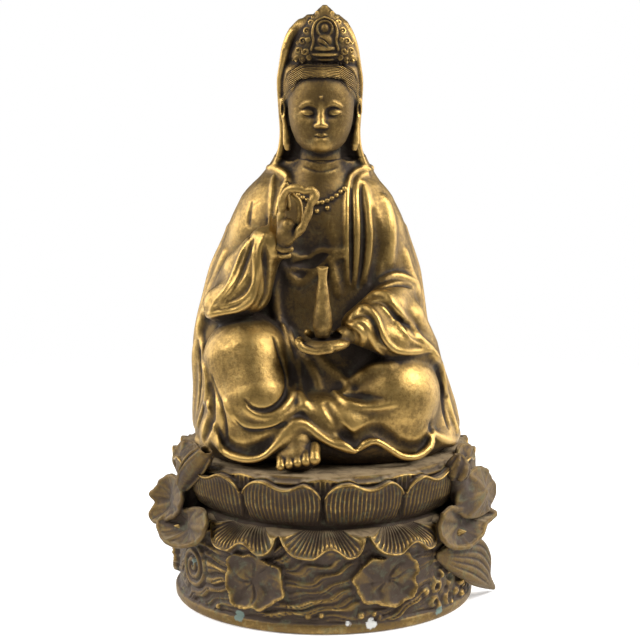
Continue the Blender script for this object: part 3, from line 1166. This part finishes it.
def mesh_object(name, points, faces, limit):
    """A smooth object from points in millimetres, thinned where it has more triangles than the limit."""
    mesh = bpy.data.meshes.new(name)
    corners = faces.shape[1]
    mesh.vertices.add(len(points))
    mesh.vertices.foreach_set("co", (points * MM).astype(np.float32).ravel())
    mesh.loops.add(faces.size)
    mesh.loops.foreach_set("vertex_index", faces.astype(np.int32).ravel())
    mesh.polygons.add(len(faces))
    mesh.polygons.foreach_set("loop_start", np.arange(0, faces.size, corners, dtype=np.int32))
    mesh.update(calc_edges=True)
    piece = bpy.data.objects.new(name, mesh)
    bpy.context.scene.collection.objects.link(piece)
    triangles = len(faces) * (corners - 2)
    if triangles > limit:
        thinning = piece.modifiers.new("thinning", "DECIMATE")
        thinning.ratio = limit / triangles
        seen = piece.evaluated_get(bpy.context.evaluated_depsgraph_get())
        piece.data = bpy.data.meshes.new_from_object(seen)
        piece.modifiers.clear()
        bpy.data.meshes.remove(mesh)
    piece.data.shade_smooth()
    return piece


def places_and_normals(piece):
    """Each point's place in the world in millimetres, and its normal."""
    count = len(piece.data.vertices)
    places, normals = np.empty(3 * count, np.float32), np.empty(3 * count, np.float32)
    piece.data.vertices.foreach_get("co", places)
    piece.data.vertex_normals.foreach_get("vector", normals)
    return places.reshape(-1, 3) / MM + np.array(piece.location) / MM, normals.reshape(-1, 3)


class Fill:
    """How full of brass each cell of a grid is, to find hollows and high places."""

    def __init__(self, low, step, full):
        self.low = np.array(low, float)
        self.step = step
        self.full = full

    def blurred(self, reach):
        """The mean fill within a reach in millimetres."""
        cells = max(1, round(reach / self.step / 2))
        width = 2 * cells + 1
        mean = self.full
        for axis in (0, 1, 2):
            margins = [(cells + 1, cells) if n == axis else (0, 0) for n in range(3)]
            for _ in range(2):
                wide = np.pad(mean, margins, mode="edge")
                total = np.moveaxis(np.cumsum(wide, axis=axis, dtype=np.float32), axis, 0)
                mean = np.moveaxis((total[width:] - total[:-width]) / width, 0, axis)
        return mean

    def around(self, places, reach):
        """The mean fill round each place: about a half on flat metal, more in a hollow, less on an edge."""
        return sampled(self.blurred(reach), self.low, self.step, places)


def clay_fill(clay, lift=0.0):
    full = np.clip(0.5 - clay.depth / clay.step, 0, 1).astype(np.float32)
    return Fill(clay.low + [0, 0, lift], clay.step, full)


def mesh_fill(points, triangles, low, high, step):
    """The fill of a closed mesh."""
    grid = openvdb.FloatGrid.createLevelSetFromPolygons(
        ((points - low) / step).astype(np.float32), triangles=triangles.astype(np.uint32), halfWidth=2.0
    )
    depth = np.empty(np.ceil((np.array(high) - low) / step).astype(int), np.float32)
    grid.copyToArray(depth)
    return Fill(low, step, np.clip(0.5 - depth, 0, 1))


def joined_fill(fills, low, high, step):
    """One coarse grid, filled from finer ones."""
    axes = [np.arange(a, b, step) for a, b in zip(low, high)]
    full = np.zeros([len(a) for a in axes], np.float32)
    for fine in fills:
        at = [np.rint((axis - start) / fine.step).astype(int) for axis, start in zip(axes, fine.low)]
        held = [(a >= 0) & (a < n) for a, n in zip(at, fine.full.shape)]
        inside = np.ix_(*held)
        found = fine.full[np.ix_(*[a[h] for a, h in zip(at, held)])]
        full[inside] = np.maximum(full[inside], found)
    return Fill(low, step, full)


def combed(places):
    """Which strand of hair each place lies on, counted from the parting, and how surely it is hair at all."""
    across = np.abs(places[:, 0] - FACE_MIDDLE)
    height = places[:, 2] - SEAT
    line = np.array(COMBED, float)
    upper, lower = (np.interp(across, line[:, 0], line[:, n]) for n in (1, 2))
    share = (upper - height) / (upper - lower)
    sure = np.clip(4 * (share + 0.1), 0, 1) * np.clip(5 * (1.15 - share), 0, 1)
    sure *= np.clip(19.5 - across, 0, 1) * (places[:, 1] < -6)
    return HAIRS * share, sure


def untouched(places):
    """How little hands have rubbed each place: least the hair and the crown, then the chest and the face."""
    middle = [FACE_MIDDLE, FACE_FRONT, SEAT + mix(FACE_CHIN, FACE_HAIRLINE, 0.5)]
    across, ahead, height = (places - middle).T
    off_face = np.sqrt((across / 17) ** 2 + (ahead / 15) ** 2 + (height / 19.5) ** 2) - 0.85
    edge_across, _, edge_heights = np.array(VEIL_EDGE[::-1]).T
    veil_edge = np.interp(places[:, 2] - SEAT, edge_heights, edge_across)
    veil = np.clip(np.maximum((np.abs(across) - veil_edge + 4) / 3, (places[:, 1] + 6) / 4), 0, 1)
    above_neck = np.clip((places[:, 2] - SEAT - 138) / 12, 0, 1)
    head = mix(mix(0.5, 0.9, np.clip(3 * off_face, 0, 1)), 0.1, veil) * above_neck
    aside, above = (places[:, 0] + 5) / 19, (places[:, 2] - SEAT - 108) / 46
    chest = np.clip(3 * (1 - np.hypot(aside, above)), 0, 1) * np.clip((-places[:, 1] - 8) / 6, 0, 1)
    chest *= np.clip((places[:, 1] + 37) / 4, 0, 1)
    return np.maximum(head, 0.5 * chest)


# How far the wear looks round a point, in millimetres: for its edges, for its swells, and how far out and how
# widely for what shelters it.
EDGE_REACH, SWELL_REACH = 1.4, 5
SHELTER_OUT, SHELTER_REACH = 10, 20


def mark_wear(piece, own, everything, dull):
    """Notes on each point how proud or deep it lies at two scales, how sheltered it is, and its hair."""
    places, normals = places_and_normals(piece)
    strand, hair = combed(places)
    notes = {
        "edge": own.around(places, EDGE_REACH),
        "swell": own.around(places, SWELL_REACH),
        "shelter": everything.around(places + SHELTER_OUT * normals, SHELTER_REACH),
        "untouched": np.maximum(untouched(places), dull),
        "strand": strand,
        "hair": hair,
    }
    for name, values in notes.items():
        note = piece.data.attributes.new(name, "FLOAT", "POINT")
        note.data.foreach_set("value", values.astype(np.float32))


def linear(colour):
    """An sRGB hex colour as linear red, green, blue and alpha."""
    values = [int(colour[n:n + 2], 16) / 255 for n in (1, 3, 5)]
    return [v / 12.92 if v <= 0.04045 else ((v + 0.055) / 1.055) ** 2.4 for v in values] + [1]


def node(tree, kind, *values, out=None, **settings):
    """Adds a node with its settings. Each value goes to an input in turn, as a number or a link, and None
    leaves one as it is. Gives the node's first output, or the one that is named."""
    made = tree.nodes.new("ShaderNode" + kind)
    for name, value in settings.items():
        setattr(made, name, value)
    for socket, value in zip([socket for socket in made.inputs if socket.enabled], values):
        if isinstance(value, bpy.types.NodeSocket):
            tree.links.new(value, socket)
        elif value is not None:
            socket.default_value = value
    return made.outputs[out] if out else next((socket for socket in made.outputs if socket.enabled), None)


# Settings of nodes: a range with soft ends, and a value times a weight plus another value.
EASED = {"interpolation_type": "SMOOTHSTEP"}
WEIGHED = {"operation": "MULTIPLY_ADD"}

# The metal: a brown skin over brass, its bare edges, green corrosion, and dust.
BROWN, BARE, GREEN, DUST = "#705A36", "#B89657", "#565A41", "#A08A68"
# Noise over it: size in millimetres, detail, roughness and distortion. The first three make the skin uneven.
# The last two are small dents and the grain of the sand that it was cast in. Real grain is about 0.3 mm, and is
# drawn coarser so that it shows.
BLOTCHES, STAINS, SPECKS = (24, 4, 0.6, 0.4), (5, 6, 0.65, 0.6), (1.6, 5, 0.7, 0)
GRAIN, DENTS = (0.8, 4, 0.65, 0), (3.5, 3, 0.5, 0)
# How deep they go, in millimetres, and the furrows between strands of hair.
GRAIN_DEPTH, DENT_DEPTH, FURROW_DEPTH = 0.14, 0.24, 0.3
FOOT_POLISH_HEIGHTS = 4, 12  # where the foot's own polish begins to fade, and where it ends
# Marks low on the plinth, with place and reach in millimetres: chalky white residue and green-blue corrosion.
CHALK, VERDIGRIS = "#C9C8C2", "#66766C"
MARKS = [
    ([12, -76, 6.5], 2.4, CHALK), ([23, -73, 5], 3.2, CHALK), ([-63, -38, 26], 3, VERDIGRIS),
    ([-42, -63, 6], 3, VERDIGRIS), ([57, -50, 5], 2.6, VERDIGRIS),
]
RAGGED = 5  # how far the stains pull a mark's rim about, in millimetres


def cast_brass(name, dark, polish, edge_wear, open_wear, grime, foot_polish=0.0, dust=0.0, marks=()):
    """Cast brass with an old brown patina: rubbed bright on its high places, dark in its hollows, with the
    fine grain of a sand casting. Polish bares all of it, edge wear its edges, and open wear what nothing
    shelters. The foot has a polish of its own. Grime dulls and greens it, and dust lies pale on what is level."""
    material = bpy.data.materials.new(name)
    material.use_nodes = True
    tree = material.node_tree
    shader = tree.nodes["Principled BSDF"]

    def add(kind, *values, **settings):
        return node(tree, kind, *values, **settings)

    where = add("TexCoord", out="Object")
    height = add("SeparateXYZ", where, out="Z")
    upward = add("SeparateXYZ", add("TexCoord", out="Normal"), out="Z")
    blotches, stains, specks, grain, dents = (
        add("TexNoise", where, 1 / (size * MM), detail, rough, None, distortion)
        for size, detail, rough, distortion in (BLOTCHES, STAINS, SPECKS, GRAIN, DENTS)
    )
    edge, swell, shelter, unrubbed, strand, hair = (
        add("Attribute", out="Fac", attribute_name=label)
        for label in ("edge", "swell", "shelter", "untouched", "strand", "hair")
    )
    furrow = add("Math", add("Math", strand, 2 * math.pi, operation="MULTIPLY"), operation="SINE")
    furrow = add("Math", furrow, hair, operation="MULTIPLY")

    # What wears a place or keeps it dark. An edge or swell is under 0.5 where the surface stands proud.
    patches = add("MapRange", stains, 0.35, 0.6, 0.2, 1.2, **EASED)
    rim = add("Math", add("Math", edge, -edge_wear, edge_wear / 2, **WEIGHED), patches, operation="MULTIPLY")
    groove = add("Math", add("Math", edge, 0.5, operation="SUBTRACT"), 0.0, operation="MAXIMUM")
    high_place = add("Math", add("Math", swell, -3.2, 1.6, **WEIGHED), 0.55, operation="MINIMUM")
    open_air = add("MapRange", shelter, 0.08, 0.5, 1.0, 0.0, **EASED)
    fade = [height_mm * MM for height_mm in FOOT_POLISH_HEIGHTS]
    foot = add("MapRange", height, *fade, 1.0, 0.0, **EASED)
    causes = [
        (rim, 1.0), (high_place, 1.0), (groove, -3.5), (furrow, 0.8), (unrubbed, -0.6),
        (open_air, open_wear), (foot, foot_polish),
    ]
    noises = [(blotches, 0.9), (stains, 0.8), (specks, 0.8)]
    worn = polish - sum(weight for _, weight in noises) / 2  # a noise is 0.5 on average
    for part, weight in causes + noises:
        worn = add("Math", part, weight, worn, **WEIGHED)
    rubbed = add("MapRange", worn, 0.65, 1.3, **EASED)
    deep = add("MapRange", worn, 0.0, 0.7, 1.0, 0.0, **EASED)
    green = add("MapRange", stains, 0.5, 0.68, 0.0, grime, **EASED)
    level = add("MapRange", upward, 0.8, 0.97, 0.0, dust, **EASED)
    dusty = add("Math", level, add("MapRange", stains, 0.3, 0.6, 0.5, 1.0, **EASED), operation="MULTIPLY")

    colour = linear(BROWN)
    for share, tint in ((rubbed, BARE), (deep, dark), (green, GREEN), (dusty, DUST)):
        colour = add("Mix", share, colour, linear(tint), data_type="RGBA")
    metal = add("Math", green, -0.5, add("Math", deep, -0.5, 1.0, **WEIGHED), **WEIGHED)
    metal = add("Mix", dusty, metal, 0.0)
    rough = add("MapRange", rubbed, 0.0, 1.0, 0.35, 0.25, **EASED)
    for part, weight in ((deep, 0.16), (unrubbed, 0.08), (stains, 0.3)):
        rough = add("Math", part, weight, rough, **WEIGHED)
    for place, reach, tint in marks:
        gap = add("VectorMath", where, [v * MM for v in place], operation="DISTANCE")
        gap = add("Math", stains, RAGGED * MM, gap, **WEIGHED)
        inner, outer = (0.7 * reach + RAGGED / 2) * MM, (reach + RAGGED / 2) * MM
        held = add("MapRange", gap, inner, outer, 1.0, 0.0, **EASED)
        colour = add("Mix", held, colour, linear(tint), data_type="RGBA")
        metal = add("Mix", held, metal, 0.0)
        rough = add("Math", rough, add("Math", held, 0.8, operation="MULTIPLY"), operation="MAXIMUM")

    relief = 0.0
    for part, depth in ((grain, GRAIN_DEPTH), (dents, DENT_DEPTH), (furrow, FURROW_DEPTH)):
        relief = add("Math", part, depth * MM, relief, **WEIGHED)
    bumped = add("Bump", 1.0, 1.0, None, relief)
    ends = {"Base Color": colour, "Metallic": metal, "Roughness": rough, "Normal": bumped}
    for label, value in ends.items():
        tree.links.new(value, shader.inputs[label])
    return material


NECK_SEAM = 146.0
# Each piece of clay: its name and model, its box and grid step, the heights that it keeps, and its triangles.
FIGURE_PIECES = [
    ("robe", carve, [-75, -72, -3], [77, 56, 152], ROBE_STEP, (0, NECK_SEAM), MANY_TRIANGLES),
    ("head_and_crown", carve, [-34, -36, 138], [32, 34, 226], FINE_STEP, (NECK_SEAM, 225), MANY_TRIANGLES),
    ("raised_hand", model_raised_hand, [-34, -52, 94], [4, -22, 142], FINE_STEP, (90, 145), FEW_TRIANGLES),
    ("hand_with_vase", model_vase_hand, [-18, -64, 52], [26, -34, 102], FINE_STEP, (50, 105), FEW_TRIANGLES),
    ("bare_foot", model_foot, [-30, -70, -3], [4, -28, 32], FINE_STEP, (0, 40), FEW_TRIANGLES),
]
LEAF_PIECES = [
    ("right_leaves", model_right_leaves, [-96, -76, -3], [-40, 33, 97], ROBE_STEP, (0, 97), FEW_TRIANGLES),
    ("left_leaves", model_left_leaves, [40, -76, -3], [96, 33, 97], ROBE_STEP, (0, 97), FEW_TRIANGLES),
]
# Pieces that hands have rubbed less than their form tells, from 0 to 1.
UNRUBBED = {
    "raised_hand": 0.9, "hand_with_vase": 0.75, "bare_foot": 0.35, "right_leaves": 0.6, "left_leaves": 0.6,
}
# Grids round the plinth's body and round the whole object, in millimetres above the ground.
PLINTH_BOX = [-92, -92, -4], [92, 92, 90]
WHOLE_BOX = [-99, -93, -6], [99, 75, 306]


def clay_piece(name, model, low, high, step, heights, limit, lift):
    """A piece of clay that a model shapes, kept between two heights and shaded by the clay's own slope."""
    clay = Clay(low, high, step)
    model(clay)
    piece = mesh_object(name, *skin(clay.kept(*heights)), limit)
    places, _ = places_and_normals(piece)
    piece.data.normals_split_custom_set_from_vertices(clay.normals(places))
    piece.location = (0, 0, lift * MM)
    return piece, clay_fill(clay, lift)


def finish_piece(piece, fill, everything, cad_node, material):
    mark_wear(piece, fill, everything, UNRUBBED.get(piece.name, 0.0))
    piece.data.materials.append(material)
    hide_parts(cad_node)
    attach(piece, "root")


def make_pieces():
    figure = [clay_piece(*row, SEAT) for row in FIGURE_PIECES]
    leaves = [clay_piece(*row, 0) for row in LEAF_PIECES]
    points, triangles = plinth_body()
    plinth = mesh_object("plinth_casting", points, triangles, MANY_TRIANGLES)
    plinth = plinth, mesh_fill(points, triangles, *PLINTH_BOX, PLINTH_STEP)
    fills = [fill for _, fill in (plinth, *figure, *leaves)]
    everything = joined_fill(fills, *WHOLE_BOX, SHELTER_STEP)
    figure_brass = cast_brass(
        "rubbed cast brass", "#2C2015", polish=0.0, edge_wear=1.5, open_wear=0.9, grime=0.2
    )
    plinth_brass = cast_brass(
        "dull cast brass", "#44362A", polish=-0.24, edge_wear=1.3, open_wear=0.5, grime=0.5,
        foot_polish=-0.1, dust=0.75, marks=MARKS,
    )
    for piece, fill in figure:
        finish_piece(piece, fill, everything, "guanyin_figure", figure_brass)
    for piece, fill in (plinth, *leaves):
        finish_piece(piece, fill, everything, "lotus_plinth", plinth_brass)


# The studio, in metres. Each soft box has its place, width and power in watts, and all aim at one point.
SOFT_BOXES = {
    "key box": ((-0.95, -0.35, 0.9), 0.7, 13),
    "side box": ((0.9, -0.35, 0.95), 0.6, 18),
    "left wall": ((-1.0, 0.45, 0.35), 0.9, 9),
    "right wall": ((1.0, 0.45, 0.35), 0.9, 9),
}
AIM = (0, 0, 0.15)
WHITE, PAPER, ROOM_TINT = "#FFFFFF", "#F6F6F6", "#E9ECF0"
ROOM_LIGHT = 0.18
FLOOR_REACH = 0.6
FLOOR_GLOW = 0.35
# The photograph's view: where the camera is, how far down it looks in degrees, and its lens in millimetres.
CAMERA_PLACE = (-0.002, -1.23, 0.387)
CAMERA_PITCH = 11.3
LENS, SENSOR = 140, 36


def light_room():
    """A white room: bright behind the object for the camera, dimmer as light, with soft boxes in it."""
    scene = bpy.context.scene
    scene.world = bpy.data.worlds.new("white room")
    scene.world.use_nodes = True
    tree = scene.world.node_tree
    tree.nodes.clear()
    light = node(tree, "Background", linear(ROOM_TINT), ROOM_LIGHT)
    seen = node(tree, "Background", linear(WHITE), 1.0)
    both = node(tree, "MixShader", node(tree, "LightPath", out="Is Camera Ray"), light, seen)
    node(tree, "OutputWorld", both)
    for name, (place, width, power) in SOFT_BOXES.items():
        lamp = bpy.data.lights.new(name, "AREA")
        lamp.shape = "SQUARE"
        lamp.size = width
        lamp.energy = power
        box = bpy.data.objects.new(name, lamp)
        scene.collection.objects.link(box)
        box.location = place
        box.rotation_euler = (Vector(AIM) - Vector(place)).to_track_quat("-Z", "Y").to_euler()


def lay_floor():
    """White paper under the object, which fades into the white room a little way off."""
    bpy.ops.mesh.primitive_circle_add(vertices=96, radius=FLOOR_REACH, fill_type="NGON")
    floor = bpy.context.object
    floor.name = "floor"
    paper = bpy.data.materials.new("white paper")
    paper.use_nodes = True
    tree = paper.node_tree
    sockets = tree.nodes["Principled BSDF"].inputs
    sockets["Base Color"].default_value = linear(PAPER)
    sockets["Roughness"].default_value = 0.9
    sockets["Emission Color"].default_value = linear(WHITE)
    sockets["Emission Strength"].default_value = FLOOR_GLOW
    away = node(tree, "VectorMath", node(tree, "TexCoord", out="Object"), operation="LENGTH")
    seen = node(tree, "MapRange", away, 0.3 * FLOOR_REACH, FLOOR_REACH, 1.0, 0.0, **EASED)
    tree.links.new(seen, sockets["Alpha"])
    floor.data.materials.append(paper)


def set_camera():
    """A long lens a little above the figure's head."""
    lens = bpy.data.cameras.new("camera")
    lens.sensor_width = SENSOR
    lens.lens = LENS
    camera = bpy.data.objects.new("camera", lens)
    bpy.context.scene.collection.objects.link(camera)
    camera.location = CAMERA_PLACE
    camera.rotation_euler = (math.radians(90 - CAMERA_PITCH), 0, 0)
    bpy.context.scene.camera = camera


make_pieces()
lay_floor()
light_room()
set_camera()
bpy.context.scene.view_settings.view_transform = "Standard"
